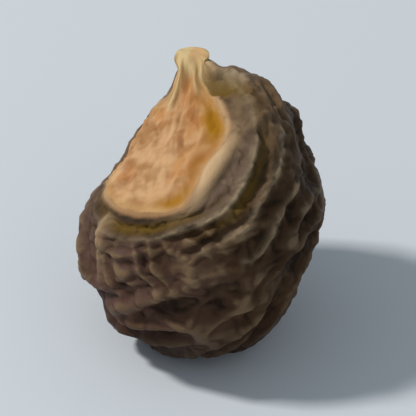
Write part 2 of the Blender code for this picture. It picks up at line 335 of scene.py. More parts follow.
def husk_relief(polar, azimuth, past_rim, aim):
    """The wrinkles' height, and how much of a crest, of the lobe's fold and of a rib this is."""
    place = aim * HUSK_RADIUS
    delay = RIDGE_LEFT_DELAY * in_sector(azimuth, RIDGE_LEFT_SECTOR)
    started = smooth_step(RIDGE_START, RIDGE_FULL, past_rim - delay)
    ridge = ring_net(
        polar, azimuth, past_rim, RIDGE_SPACING, RIDGE_STRETCH, RIDGE_WIDTH, RIDGE_PATCH
    )
    fold = ring_net(
        polar, azimuth, past_rim, FOLD_SPACING, FOLD_STRETCH, FOLD_WIDTH, FOLD_PATCH, peak
    )
    crease = ring_net(
        polar, azimuth, past_rim, CREASE_SPACING, CREASE_STRETCH, CREASE_WIDTH, CREASE_PATCH
    )
    grain = noise.fractal(place / GRAIN_SPACING, *GRAIN_LAYERS)
    rib, ribbed = long_ribs(azimuth, past_rim, place)
    flute, fluted = short_flutes(azimuth, past_rim, place)
    cell = net(place / CELL_SPACING, CELL_WIDTH, peak)
    celled = in_sector(azimuth, CELL_SECTOR) * smooth_step(CELL_END, CELL_FADE, past_rim)
    cells_started = smooth_step(CELL_START, CELL_FULL, past_rim)
    lobe_fold = fold_of_lobe(polar, azimuth, past_rim, place)
    on_collar, strength = collar(azimuth, past_rim)

    others = (ribbed, celled, fluted)
    off_pole = smooth_step(0, POLE_CALM, math.pi - polar)
    calm = lain_down(1.0, RIDGES_LIE_DOWN, others) * off_pole
    folds = lain_down(started, FOLDS_LIE_DOWN, others) * (POLE_FOLDS + (1 - POLE_FOLDS) * off_pole)
    crease *= POLE_CREASES + (1 - POLE_CREASES) * off_pole

    height = started * RIDGE_HEIGHT * (ridge - RIDGE_MEAN) * calm
    height += ribbed * RIB_HEIGHT * (rib - PEAK_MEAN) + fluted * FLUTE_HEIGHT * (flute - PEAK_MEAN)
    height += folds * FOLD_HEIGHT * (fold - PEAK_MEAN)
    height += cells_started * celled * CELL_HEIGHT * (cell - PEAK_MEAN)
    height += LOBE_FOLD_HEIGHT * lobe_fold * (1 - strength * on_collar)
    creased = CREASE_DEPTH * crease * (1 - CREASE_RIDGE_LOSS * ridge)
    height += smooth_step(GRAIN_START, RIDGE_START, past_rim) * (GRAIN_DEPTH * grain - creased)

    fold *= POLE_FOLD_PALENESS + (1 - POLE_FOLD_PALENESS) * off_pole
    # The crest's paleness is partly worn skin and partly painted sheen, and the darker creases are
    # painted shade
    crest = started * (
        RIDGE_PALENESS * ridge * calm + FOLD_PALENESS * fold * (1 - FOLD_RIB_LOSS * ribbed)
    )
    crest += RIB_PALENESS * ribbed * rib
    paler = FLUTE_PALENESS * fluted * flute + CELL_PALENESS * started * celled * cell
    crest += paler - CREASE_PAINTED_SHADE * crease
    return height, max(0.0, min(1.0, crest)), lobe_fold, rib * ribbed


# The scar: the pale pointed oval where the nut broke from its twin lobes. It is bare flesh of the
# fruit, dried flat and a little puffed. A sunken amber strip and a cream rim end it on the right,
# and a groove and then the collar of husk run round it.
SCAR_OFFSET = 6.5 * MM
SCAR_HALF_WIDTH = 5.1 * MM
SCAR_SIDE_SHIFT = 0.4 * MM
SCAR_BOTTOM = 0.8 * MM
SCAR_POINT = 2.6 * MM
SCAR_POINT_SPREAD = math.radians(26)
SCAR_CUT = 3.75 * MM
SCAR_CUT_MIDDLE = math.radians(-62)
SCAR_CUT_LEAST_TURN = 0.3
SCAR_CUT_BLEND = 0.7 * MM
SCAR_EDGE_BLEND = 1.2 * MM
SCAR_LEFT_SECTOR = (SCAR_CUT_MIDDLE, math.radians(52))
SCAR_RIGHT_SECTOR = (math.radians(110), math.radians(33))

# Where the bare flesh ends, in shares of the way to the scar's edge, and how much sooner or later
# it ends in some sectors: on the right, at the bottom left and right, at the top, and on the left
FLESH_EDGE = 0.95
FLESH_EDGE_CHANGES = (
    (-0.27, SCAR_RIGHT_SECTOR),
    (-0.08, (math.radians(-163), math.radians(36))),
    (0.06, (math.radians(152), math.radians(15))),
    (0.11, (math.radians(22), math.radians(16))),
    (0.75, (math.radians(-55), math.radians(38))),
)
FLESH_RELIEF_FULL = 0.8
FLESH_PUFF = 0.3 * MM
SWELL_HEIGHT = 0.3 * MM
SWELL_SPACING = 1.7 * MM
VEIN_DEPTH = 0.13 * MM
VEIN_SPACING = 1.15 * MM
VEIN_STRETCH = 0.45
VEIN_WIDTH = 0.15
VEIN_WAVE = 0.3
VEIN_WAVE_PACE = 0.6
VEIN_PATCH = 3.3 * MM
STRIP_DEPTH = 0.3 * MM
STRIP_WAY = 0.1
STRIP_WIDTH = 0.09
STRIP_RIGHT = 0.7
STRIP_UPPER_SECTOR = (math.radians(50), 0.5)
RIM_HEIGHT = 0.35 * MM
RIM_WAY = 0.7 * MM
RIM_WIDTH = 0.6 * MM

# The grooves along the collar, deepest below the scar on its inside, and on the right outside it
GROOVE_DEPTH = 0.35 * MM
GROOVE_WIDTH = 0.3 * MM
GROOVE_TO_COLLAR = 0.7 * MM
GROOVE_BOTTOM_SECTOR = (math.radians(180), math.radians(50))
GROOVE_ELSEWHERE = 0.35
OUTER_GROOVE_DEPTH = 0.7 * GROOVE_DEPTH

# The short groove at the beak's right foot, which slants away from the scar, with a ridge beside it.
# The shares are of the collar's height.
FOOT_GROOVE_SECTOR = (math.radians(27), math.radians(20))
FOOT_GROOVE_WAY = 0.85 * MM
FOOT_GROOVE_SLANT = 2.7 * MM
FOOT_GROOVE_WIDTH = 0.48 * MM
FOOT_GROOVE_SHARE = 0.6
FOOT_RIDGE_WAY = 0.8 * MM
FOOT_RIDGE_SHARE = 0.7


def scar_reach(azimuth):
    """How far the scar reaches from its middle: an oval with a point, cut straight on its left."""
    from_point = abs(math.remainder(azimuth, math.tau))
    oval = (
        SCAR_HALF_WIDTH
        + SCAR_SIDE_SHIFT * math.sin(azimuth)
        + SCAR_BOTTOM * (1 - math.cos(azimuth)) / 2
        + SCAR_POINT * math.exp(-from_point / SCAR_POINT_SPREAD)
    )
    straight = SCAR_CUT / max(SCAR_CUT_LEAST_TURN, math.cos(azimuth - SCAR_CUT_MIDDLE))
    return smooth_min(oval, straight, SCAR_CUT_BLEND)


def flesh_edge(azimuth):
    """Where the bare flesh ends, in shares of the scar's reach."""
    edge = FLESH_EDGE
    for change, sector in FLESH_EDGE_CHANGES:
        edge += change * in_sector(azimuth, sector)
    return edge


def foot_groove(azimuth, past_rim):
    """The groove and the ridge at the beak's right foot, each from 0 to 1."""
    share = in_sector(azimuth, FOOT_GROOVE_SECTOR)
    slant = FOOT_GROOVE_SLANT * (azimuth - FOOT_GROOVE_SECTOR[0])
    away = past_rim - FOOT_GROOVE_WAY - slant
    groove = bell(away, FOOT_GROOVE_WIDTH)
    return share * groove, share * peak(away - FOOT_RIDGE_WAY, FOOT_GROOVE_WIDTH)


def scar_relief(beyond, azimuth, reach, past_rim):
    """The puffed flesh, the sunken strip and raised rim on its right, the grooves and the collar."""
    edge = flesh_edge(azimuth)
    right = in_sector(azimuth, SCAR_RIGHT_SECTOR)
    strip = max(STRIP_RIGHT * right, in_sector(azimuth, STRIP_UPPER_SECTOR))
    height = FLESH_PUFF * max(0.0, 1 - (beyond / edge) ** 2)
    height -= STRIP_DEPTH * strip * bell(beyond - edge + STRIP_WAY, STRIP_WIDTH)
    height += RIM_HEIGHT * right * bell((beyond - edge) * reach - RIM_WAY, RIM_WIDTH)

    to_collar = past_rim - collar_way(azimuth)
    off_left = 1 - in_sector(azimuth, SCAR_LEFT_SECTOR)
    inner = max(in_sector(azimuth, GROOVE_BOTTOM_SECTOR), GROOVE_ELSEWHERE * off_left)
    height -= GROOVE_DEPTH * inner * bell(to_collar + GROOVE_TO_COLLAR, GROOVE_WIDTH)
    outer = in_sector(azimuth, COLLAR_RIGHT_SECTOR)
    height -= OUTER_GROOVE_DEPTH * outer * bell(to_collar - GROOVE_TO_COLLAR, GROOVE_WIDTH)

    raised, strength = collar(azimuth, past_rim)
    groove, ridge = foot_groove(azimuth, past_rim)
    height += COLLAR_HEIGHT * (FOOT_RIDGE_SHARE * ridge - FOOT_GROOVE_SHARE * groove)
    return height + COLLAR_HEIGHT * strength * raised


def flesh_relief(point, beyond, azimuth):
    """How far the bare flesh swells up, or sinks along its veins."""
    inside = smooth_step(1.0, FLESH_RELIEF_FULL, beyond / flesh_edge(azimuth))
    if inside == 0:
        return 0.0
    swell = noise.noise(point / SWELL_SPACING)
    place = Vector((point.x, point.y * VEIN_STRETCH, VEIN_PATCH)) / VEIN_SPACING
    vein = net(place + VEIN_WAVE * noise.noise_vector(place * VEIN_WAVE_PACE), VEIN_WIDTH, bell)
    return inside * (SWELL_HEIGHT * swell - VEIN_DEPTH * vein)


# The beak: the stub of the stalk, fibrous and straw-coloured, drawn out of the scar's point. It has
# a narrow neck under a wider end, where it broke off. The rise is 0 at its foot and 1 at its end.
BEAK_LENGTH = 2.6 * MM
BEAK_RISE = math.radians(25)
BEAK_HALF_WIDTH = 1.68 * MM
BEAK_HALF_DEPTH = 1.5 * MM
BEAK_SIDE_SHIFT = 0.8 * MM
BEAK_WAY = 7.9 * MM
BEAK_FLARE = 0.3
BEAK_ROOT = 2.0 * MM
BEAK_LEAN = 0.4 * MM
BEAK_SLANT = 0.3
CROWN_FLARE = 0.25
CROWN_START = 0.4
CROWN_FULL = 0.85
NECK_NARROWING = 0.28
NECK_RISE = 0.55
NECK_SPREAD = 0.2

# The fibres' strands round the beak, which start a little way from its middle, in millimetres
STRANDS = 1.15
STRAND_PATCH = 7.7
STRAND_HEIGHT = 0.32 * MM
STRAND_START = 0.2
STRAND_FULL = 1.0
STRAND_LEAST_RISE = 0.02
FAN_MIDDLE = 0.05 * MM

# Two strands run down from the beak onto the flesh with a dark gap between them, and a short pale
# one stands at its right foot. Each has its top, its bottom and its half width.
LEFT_STRAND = (Vector((0.5 * MM, 9.2 * MM)), Vector((-0.9 * MM, 4.6 * MM)), 0.42 * MM)
RIGHT_STRAND = (Vector((0.8 * MM, 8.6 * MM)), Vector((1.65 * MM, 6.4 * MM)), 0.3 * MM)
STRAND_GAP = (Vector((0.75 * MM, 7.9 * MM)), Vector((0.4 * MM, 6.3 * MM)), 0.32 * MM)
FOOT_STRAND = (Vector((2.2 * MM, 8.6 * MM)), Vector((3.2 * MM, 7.75 * MM)), 0.42 * MM)
RIGHT_STRAND_SHARE = 0.8
LONG_STRAND_HEIGHT = 0.34 * MM
STRAND_GAP_DEPTH = 0.25 * MM
FOOT_STRAND_HEIGHT = 0.6 * MM
STRAND_TOP_WIDTH = 1.15
STRAND_THINNING = 0.5
STRAND_FADE = 0.7
STRAND_END = 1.1
FRONT_FULL = 0.6 * MM
FRONT_END = 1.2 * MM


def fan(point):
    """The sine and cosine of the angle round the beak's foot, and the way from it in millimetres."""
    away = Vector((point.x - BEAK_SIDE_SHIFT, point.y - BEAK_WAY))
    way = max(away.length, FAN_MIDDLE)
    return Vector((away.x / way, away.y / way, way / MM))


def along_strand(point, strand):
    """1 in the middle of a strand, which thins out towards its lower end, and 0 beside it."""
    top, bottom, width = strand
    along = bottom - top
    share = (point.xy - top).dot(along) / along.length_squared
    nearest = top + along * min(1.0, max(0.0, share))
    thinned = width * (STRAND_TOP_WIDTH - STRAND_THINNING * min(1.0, max(0.0, share)))
    return bell((point.xy - nearest).length, thinned) * smooth_step(STRAND_END, STRAND_FADE, share)


def with_beak(point):
    """Draws the point out into the beak if it lies near the beak's foot, and says how far out."""
    side = (point.x - BEAK_SIDE_SHIFT) / BEAK_HALF_WIDTH
    front = (point.y - BEAK_WAY) / BEAK_HALF_DEPTH
    rise = math.exp(-(side**4 + side**2 * front**2 + front**4))
    rise *= smooth_step(-BEAK_ROOT, BEAK_ROOT, point.z)
    flared = BEAK_FLARE + CROWN_FLARE * smooth_step(CROWN_START, CROWN_FULL, rise)
    widened = rise * flared - NECK_NARROWING * bell(rise - NECK_RISE, NECK_SPREAD)
    flare = Vector((widened * (point.x - BEAK_SIDE_SHIFT) - BEAK_LEAN * rise**2, 0, 0))
    length = BEAK_LENGTH * Vector((0, math.cos(BEAK_RISE), math.sin(BEAK_RISE)))
    length *= 1 - BEAK_SLANT * max(-1.0, min(1.0, side))
    return point + flare + rise * length, rise


def beak_strands(point, past_rim):
    """How much of a long strand, of the gap between the two and of the foot's strand this is."""
    on_front = smooth_step(FRONT_END, FRONT_FULL, past_rim)
    right = RIGHT_STRAND_SHARE * along_strand(point, RIGHT_STRAND)
    long_strand = on_front * max(along_strand(point, LEFT_STRAND), right)
    gap = on_front * along_strand(point, STRAND_GAP)
    foot = along_strand(point, FOOT_STRAND) if point.z > 0 else 0.0
    return long_strand, gap, foot


# The nut's skin: husk, scar and beak grew as one piece, so one closed mesh makes all three. It
# starts as a sphere with its pole in the scar's middle, is turned as the nut lies, and is flattened
# where the nut rests. Each of its points also knows which looks it has there.
SEGMENTS = 420
RINGS = 214
RIM_SHARE = 0.2
RIM_CROWDING = 1.2
BEAK_CROWDING = 0.3
FAR_IN_REACHES = 3.0
TURN = Euler((math.radians(17), math.radians(-23), math.radians(-19)))
FLOOR_LEVEL = -9.96 * MM

# The looks beside the flesh or the collar are bands: their strength, how far past it they run, and
# their spread
CREAM_RIM = (1.3, 0.75 * MM, 0.75 * MM)
CREAM_LEFT = (0.8, 0.3 * MM, 0.45 * MM)
CREAM_THIN = (0.6, 0.2 * MM, 0.3 * MM)
CREAM_BOTTOM_LOSS = 0.7
CREAM_START = -0.35 * MM
CREAM_FULL = 0.05 * MM
CREAM_LOBE_FOLD = 0.55
CREAM_FOOT_STRAND = 1.1
OLIVE_INNER = (1.0, -GROOVE_TO_COLLAR, 0.4 * MM)
OLIVE_OUTER = (0.9, GROOVE_TO_COLLAR, 0.4 * MM)
OLIVE_BOTTOM_SECTOR = (math.radians(185), 0.85)
OLIVE_RIGHT_SECTOR = (math.radians(112), math.radians(32))
OLIVE_FOLD_LOSS = 0.8
OLIVE_FOOT = 1.4
AMBER_UPPER = (1.25, -0.95 * MM, 0.85 * MM)
AMBER_MIDDLE = (0.4, -0.9 * MM, 0.45 * MM)
AMBER_LOWER = (0.95, -0.85 * MM, 0.65 * MM)
AMBER_UPPER_SECTOR = (math.radians(50), math.radians(27))
AMBER_MIDDLE_SECTOR = (math.radians(112), math.radians(34))
AMBER_LOWER_SECTOR = (math.radians(157), math.radians(21))
ORANGE_MIDDLE = (1.1, -1.0 * MM, 0.7 * MM)

# The red-brown stain in the flesh under the beak
STAIN_MIDDLE = Vector((0.9 * MM, 5.8 * MM))
STAIN_SPREAD = 0.75 * MM
STAIN_STRENGTH = 0.8

# The pale lines on the collar, the ribs and the ridge at the beak's foot: partly paler skin on their
# crests and partly painted highlight
COLLAR_LINE_SHARPNESS = 2.5
COLLAR_LINE_LOSS = 0.65
COLLAR_LINE_LOSS_SECTOR = (math.radians(-165), math.radians(42))
RIB_LINE = 0.75
RIB_LINE_SHARPNESS = 1.5
FOOT_LINE = 0.9
FOOT_LINE_SHARPNESS = 2

# The straw colour starts at this rise of the beak
STRAW_START = 0.25
STRAW_FULL = 0.7
STRAW_GAP_LOSS = 0.7

# The paler skin on the shoulder and the left side, and the purplish band inside the collar
SHOULDER_SECTOR = (math.radians(50), 0.85)
SHOULDER_FULL = 2.0 * MM
SHOULDER_END = 8.5 * MM
LEFT_SIDE_STRENGTH = 1.1
LEFT_SIDE_FULL = 4.0 * MM
LEFT_SIDE_END = 7.5 * MM
BAND_SECTOR = (math.radians(118), math.radians(40))
BAND_START = 0.1 * MM
BAND_FULL = 0.7 * MM
BAND_FADE = -0.3 * MM
BAND_END = 0.1 * MM
DEEPEST_FLESH = 5.0
FARTHEST_FROM_FLESH = -3.0


def in_band(share, way, band):
    """How strong the band is this far past the flesh or the collar, with its share on this side."""
    strength, middle, spread = band
    return strength * share * bell(way - middle, spread)


def cream_look(azimuth, past_flesh, lobe_fold, foot_strand):
    low = in_sector(azimuth, OLIVE_BOTTOM_SECTOR)
    cream = max(
        in_band(in_sector(azimuth, SCAR_RIGHT_SECTOR), past_flesh, CREAM_RIM),
        in_band(in_sector(azimuth, SCAR_LEFT_SECTOR), past_flesh, CREAM_LEFT),
        in_band(1 - CREAM_BOTTOM_LOSS * low, past_flesh, CREAM_THIN),
    )
    cream *= smooth_step(CREAM_START, CREAM_FULL, past_flesh)
    return min(1.0, max(cream, CREAM_LOBE_FOLD * lobe_fold, CREAM_FOOT_STRAND * foot_strand))


# Pale lines on the crests, partly paler skin and partly painted highlight
def pale_line_and_highlight_look(azimuth, past_rim, rib, foot_ridge):
    raised, strength = collar(azimuth, past_rim)
    faded = 1 - COLLAR_LINE_LOSS * in_sector(azimuth, COLLAR_LINE_LOSS_SECTOR)
    return max(
        faded * strength * raised**COLLAR_LINE_SHARPNESS,
        RIB_LINE * rib**RIB_LINE_SHARPNESS,
        FOOT_LINE * foot_ridge**FOOT_LINE_SHARPNESS,
    )


def olive_look(azimuth, to_collar, lobe_fold, foot):
    inner = in_band(in_sector(azimuth, OLIVE_BOTTOM_SECTOR), to_collar, OLIVE_INNER)
    outer = in_band(in_sector(azimuth, OLIVE_RIGHT_SECTOR), to_collar, OLIVE_OUTER)
    return min(1.0, max(inner * (1 - OLIVE_FOLD_LOSS * lobe_fold), outer, OLIVE_FOOT * foot))


def amber_look(azimuth, past_flesh):
    upper = in_band(in_sector(azimuth, AMBER_UPPER_SECTOR), past_flesh, AMBER_UPPER)
    middle = in_band(in_sector(azimuth, AMBER_MIDDLE_SECTOR), past_flesh, AMBER_MIDDLE)
    lower = in_band(in_sector(azimuth, AMBER_LOWER_SECTOR), past_flesh, AMBER_LOWER)
    return min(1.0, max(upper, middle, lower))


def orange_look(point, azimuth, past_flesh, gap):
    middle = in_band(in_sector(azimuth, AMBER_MIDDLE_SECTOR), past_flesh, ORANGE_MIDDLE)
    stain = STAIN_STRENGTH * bell((point.xy - STAIN_MIDDLE).length, STAIN_SPREAD)
    return max(gap, middle, stain)


def shoulder_look(azimuth, past_rim):
    shoulder = in_sector(azimuth, SHOULDER_SECTOR)
    shoulder *= smooth_step(SHOULDER_END, SHOULDER_FULL, past_rim)
    left = LEFT_SIDE_STRENGTH * in_sector(azimuth, SCAR_LEFT_SECTOR)
    return max(shoulder, left * smooth_step(LEFT_SIDE_END, LEFT_SIDE_FULL, past_rim))


def band_look(azimuth, past_rim, to_collar):
    band = in_sector(azimuth, BAND_SECTOR) * smooth_step(BAND_START, BAND_FULL, past_rim)
    return band * smooth_step(BAND_END, BAND_FADE, to_collar)


def nut_point(azimuth, sweep):
    """A point of the skin, its looks, and its place in the fibres and in the wrinkles."""
    reach = scar_reach(azimuth)
    rim = math.atan2(reach, SCAR_OFFSET)
    if sweep < RIM_SHARE:
        polar = math.atan2(reach * sweep / RIM_SHARE, SCAR_OFFSET)
    else:
        polar = rim + (math.pi - rim) * ((sweep - RIM_SHARE) / (1 - RIM_SHARE)) ** RIM_CROWDING
    aim = direction(polar, azimuth)

    radius = husk_radius(aim)
    beyond = FAR_IN_REACHES
    if aim.z > SCAR_OFFSET / HUSK_WIDTH:
        radius = smooth_min(radius, SCAR_OFFSET / aim.z, SCAR_EDGE_BLEND)
        beyond = SCAR_OFFSET * math.tan(polar) / reach
    point = radius * aim
    past_rim = way_past_rim(polar, rim)
    lift = scar_relief(beyond, azimuth, reach, past_rim)
    point += lift * (aim if past_rim > 0 else Vector((0, 0, 1)))

    crest = lobe_fold = rib = 0.0
    fibres = fan(point)
    if past_rim > 0:
        height, crest, lobe_fold, rib = husk_relief(polar, azimuth, past_rim, aim)
        point += aim * height
    point.z += flesh_relief(point, beyond, azimuth)
    point, rise = with_beak(point)
    long_strand, gap, foot_strand = beak_strands(point, past_rim)
    if rise > STRAND_LEAST_RISE:
        strand = noise.noise(Vector((fibres.x * STRANDS, fibres.y * STRANDS, STRAND_PATCH)))
        strand *= smooth_step(STRAND_START, STRAND_FULL, fibres.z)
        point += (aim * rise * (1 - rise) * 4) * STRAND_HEIGHT * strand
    raised = LONG_STRAND_HEIGHT * long_strand - STRAND_GAP_DEPTH * gap
    point.z += raised + FOOT_STRAND_HEIGHT * foot_strand

    past_flesh = (beyond - flesh_edge(azimuth)) * reach
    to_collar = past_rim - collar_way(azimuth)
    foot, foot_ridge = foot_groove(azimuth, past_rim)
    beak_straw = smooth_step(STRAW_START, STRAW_FULL, rise)
    looks = {
        "crest": crest,
        "flesh": max(FARTHEST_FROM_FLESH, min(DEEPEST_FLESH, -past_flesh / MM)),
        "cream": cream_look(azimuth, past_flesh, lobe_fold, foot_strand) * (1 - foot),
        "line": pale_line_and_highlight_look(azimuth, past_rim, rib, foot_ridge),
        "olive": olive_look(azimuth, to_collar, lobe_fold, foot),
        "amber": amber_look(azimuth, past_flesh),
        "orange": orange_look(point, azimuth, past_flesh, gap),
        "straw": max(long_strand, beak_straw) * (1 - STRAW_GAP_LOSS * gap),
        "shoulder": shoulder_look(azimuth, past_rim),
        "band": band_look(azimuth, past_rim, to_collar),
    }
    ring = math.sin(polar) * HUSK_RADIUS / MM
    lay = Vector((ring * math.sin(azimuth), ring * math.cos(azimuth), past_rim / MM))
    return point, looks, fibres, lay


noise.seed_set(RIDGE_SEED)
shape = bmesh.new()
bmesh.ops.create_uvsphere(shape, u_segments=SEGMENTS, v_segments=RINGS, radius=1)
look_rows = []
fan_rows = []
lay_rows = []
for vertex in shape.verts:
    azimuth = math.atan2(vertex.co.x, vertex.co.y)
    azimuth -= BEAK_CROWDING * math.sin(azimuth)
    sweep = math.acos(max(-1.0, min(1.0, vertex.co.z))) / math.pi
    vertex.co, looks, fibres, lay = nut_point(azimuth, sweep)
    look_rows.append(looks)
    fan_rows.extend(fibres)
    lay_rows.extend(lay)
mesh = bpy.data.meshes.new("nut_skin")
shape.to_mesh(mesh)
shape.free()
for name in look_rows[0]:
    layer = mesh.attributes.new(name, "FLOAT", "POINT")
    layer.data.foreach_set("value", [looks[name] for looks in look_rows])
for name, rows in (("fan", fan_rows), ("lay", lay_rows)):
    layer = mesh.attributes.new(name, "FLOAT_VECTOR", "POINT")
    layer.data.foreach_set("vector", rows)

mesh.transform(TURN.to_matrix().to_4x4())
for vertex in mesh.vertices:
    vertex.co.z = max(0.0, vertex.co.z - FLOOR_LEVEL)
mesh.shade_smooth()
skin = bpy.data.objects.new("nut_skin", mesh)
bpy.context.scene.collection.objects.link(skin)
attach(skin, "root")
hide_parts("soapnut")

# The skin's finish: dark leathery husk, its valleys partly painted shade and its pale crests partly
# worn and partly painted sheen, tan flesh, cream rim, mustard strip and straw beak, all one dry
# plant skin. The mesh's looks say which is where.
# The valley colour is partly the husk's dark brown and partly painted shade, and it also paints
# shade low down and on the right. The crest, mauve and line colours are partly the skin's paler
# tones and partly painted sheen and highlight.
VALLEY_BROWN_AND_SHADE = (0.012, 0.005, 0.0014, 1)
BROWN = (0.056, 0.026, 0.0095, 1)
CREST_WEAR_AND_SHEEN = (0.175, 0.11, 0.058, 1)
KHAKI = (0.165, 0.103, 0.052, 1)
PLUM = (0.14, 0.09, 0.062, 1)
BAND_STREAK = (0.3, 0.21, 0.135, 1)
OLIVE = (0.125, 0.068, 0.005, 1)
RUDDY = (0.07, 0.018, 0.006, 1)
MAUVE_BLOOM_AND_SHEEN = (0.1, 0.052, 0.04, 1)
CREAM = (0.55, 0.37, 0.2, 1)
PALE_LINE_AND_HIGHLIGHT = (0.36, 0.27, 0.165, 1)
TAN = (0.36, 0.175, 0.065, 1)
PEACH = (0.58, 0.345, 0.17, 1)
ORANGE = (0.44, 0.17, 0.035, 1)
STAIN = (0.3, 0.105, 0.032, 1)
HONEY = (0.46, 0.27, 0.1, 1)
MUSTARD = (0.34, 0.15, 0.005, 1)
EMBER = (0.42, 0.165, 0.045, 1)
STRAW = (0.58, 0.43, 0.215, 1)
STRAW_GAP_COLOUR = (0.3, 0.17, 0.06, 1)
TIP = (0.55, 0.345, 0.16, 1)

# Each speckle has its scale (per metre, or per millimetre along the fibres or the wrinkles), its
# detail and its roughness. A lay is how it is stretched along them.
CLOUDS = (900.0, 4.0, 0.6)
BROAD_CLOUDS = (260.0, 3.0, 0.55)
MOTTLES = (850.0, 1.5, 0.45)
WRINKLES = (2.2, 4.0, 0.6)
WRINKLE_LAY = (0.55, 0.55, 1.0)
BAND_STREAKS = (2.6, 3.0, 0.5)
BAND_LAY = (2.6, 2.6, 0.3)
FIBRES = (2.0, 4.0, 0.55)
FIBRE_LAY = (3.2, 3.2, 0.3)
FLESH_CLOUDS = (620.0, 2.0, 0.5)
FLESH_PATCHES = (330.0, 2.0, 0.5)
FLESH_STREAKS = (2.0, 2.0, 0.5)
STREAK_LAY = (2.8, 2.8, 0.24)
BEAK_STRANDS = (2.0, 3.0, 0.5)
BEAK_LAY = (1.9, 1.9, 0.3)
HUSK_GRAIN = (6000.0, 3.0, 0.6)
FIBRE_GRAIN = (4500.0, 3.0, 0.6)
PORES_PER_METRE = 4600.0

# A grade is where a change starts and where it is full, by what drives it: a speckle from 0 to 1, a
# look, or a height or a way to the right in metres
CLOUD_ON_CREST = (0.5, -0.25)
WRINKLE_ON_CREST = (0.4, -0.2)
BROWN_GRADE = (-0.1, 0.35)
CREST_GRADE = (0.4, 0.95)
SHOULDER_GRADE = (0.28, 0.62, 0.35, 0.9)
BAND_STREAK_GRADE = (0.48, 0.66)
BAND_STREAK_SHARE = 0.55
BAND_SHARE = 0.9
KHAKI_GRADE = (0.5, 0.72)
KHAKI_SHARE = 0.3
MAUVE_BELOW = (0.016, 0.011)
MAUVE_LEFT_OF = (0.004, -0.004)
MAUVE_CLOUDS = (0.25, 0.55)
MAUVE_CRESTS = (-0.1, 0.4)
MAUVE_SHARE = 0.8
RUDDY_BELOW = (0.010, 0.003)
RUDDY_LEFT_OF = (0.001, -0.008)
RUDDY_LEFT_SHARE = (0.55, 0.2)
RUDDY_CLOUDS = (0.3, 0.6)
# Painted shade: darker low down and on the right, by height and by the way to the right
PAINTED_SHADE_BELOW = (0.008, 0.002)
PAINTED_SHADE_BELOW_SHARE = 0.65
PAINTED_SHADE_RIGHT_OF = (0.003, 0.009)
PAINTED_SHADE_RIGHT_SHARE = 0.35
EDGE_TAN_GRADE = (-0.8, -0.15)
EDGE_TAN_SHARE = 0.7
OLIVE_CLOUDS = (0.2, 0.5)
LINE_CLOUDS = (0.25, 0.55)
PEACH_GRADE = (0.38, 0.62)
ORANGE_GRADE = (0.5, 0.68)
ORANGE_SHARE = 0.6
STAIN_GRADE = (0.52, 0.66)
STAIN_SHARE = 0.5
HONEY_DEPTH = (1.1, 0.1)
HONEY_SHARE = 0.55
EMBER_CLOUDS = (0.2, 0.5)
EMBER_SHARE = 0.9
EDGE_WANDER = (0.7, -0.35)
FLESH_START = (-0.12, 0.14)
CREAM_MOTTLES = (0.1, 0.42)
STRAW_GRADE = (0.35, 0.6)
BEAK_END_GRADE = (1.3, 0.6)
TIP_RIGHT_GRADE = (-0.3, 0.5)

# Crests are worn smoother, the flesh is dull, and the amber strip is waxy
HUSK_ROUGHNESS = (0.0, 0.9, 0.6, 0.38)
FLESH_ROUGHNESS = (0.0, 1.0, 0.68, 0.4)
SHINE = 0.12
PORE_EDGE = (0.0, 0.12)
PORE_RELIEF = 0.35
HAIR_RELIEF = 2.0
HUSK_GRAIN_RELIEF = 0.7
FIBRE_RELIEF = 1.2
STRAND_RELIEF = 0.8
FIBRE_GRAIN_RELIEF = 0.4
RELIEF_STRENGTH = 0.5
RELIEF_DEPTH = 0.06 * MM

finish = bpy.data.materials.new("soapnut_skin")
finish.use_nodes = True
tree = finish.node_tree
surface = tree.nodes["Principled BSDF"]


def node(kind, inputs=None, **settings):
    """Adds a node to the skin's finish, and gives its inputs their values or links."""
    added = tree.nodes.new(kind)
    for name, value in settings.items():
        setattr(added, name, value)
    for socket, value in (inputs or {}).items():
        if isinstance(value, bpy.types.NodeSocket):
            tree.links.new(value, added.inputs[socket])
        else:
            added.inputs[socket].default_value = value
    return added


def look(name):
    return node("ShaderNodeAttribute", attribute_name=name).outputs["Fac"]


def grade(value, start, full, to_start=0.0, to_full=1.0, kind="SMOOTHSTEP"):
    """0 where the change starts and 1 where it is full, or the two values given for them."""
    inputs = {
        "Value": value,
        "From Min": start,
        "From Max": full,
        "To Min": to_start,
        "To Max": to_full,
    }
    return node("ShaderNodeMapRange", inputs, interpolation_type=kind).outputs["Result"]


def calculate(kind, *values):
    return node("ShaderNodeMath", dict(enumerate(values)), operation=kind).outputs["Value"]


def scaled(value, factor, shift):
    return calculate("MULTIPLY_ADD", value, factor, shift)


def add(a, b):
    return calculate("ADD", a, b)


def times(first, *others):
    product = first
    for value in others:
        product = calculate("MULTIPLY", product, value)
    return product


def paint(share, under, over):
    """The colour under, with a share of the colour over it."""
    return node("ShaderNodeMix", {0: share, 6: under, 7: over}, data_type="RGBA").outputs[2]


def speckle(vector, scale, detail, roughness):
    inputs = {"Vector": vector, "Scale": scale, "Detail": detail, "Roughness": roughness}
    return node("ShaderNodeTexNoise", inputs).outputs["Fac"]


def laid(name, lay):
    """The place among the fibres or the wrinkles, stretched along them."""
    vector = node("ShaderNodeAttribute", attribute_name=name).outputs["Vector"]
    return node("ShaderNodeVectorMath", {0: vector, 1: lay}, operation="MULTIPLY").outputs["Vector"]


spot = node("ShaderNodeTexCoord").outputs["Object"]
place = node("ShaderNodeSeparateXYZ", {0: spot})
height = place.outputs["Z"]
rightward = place.outputs["X"]

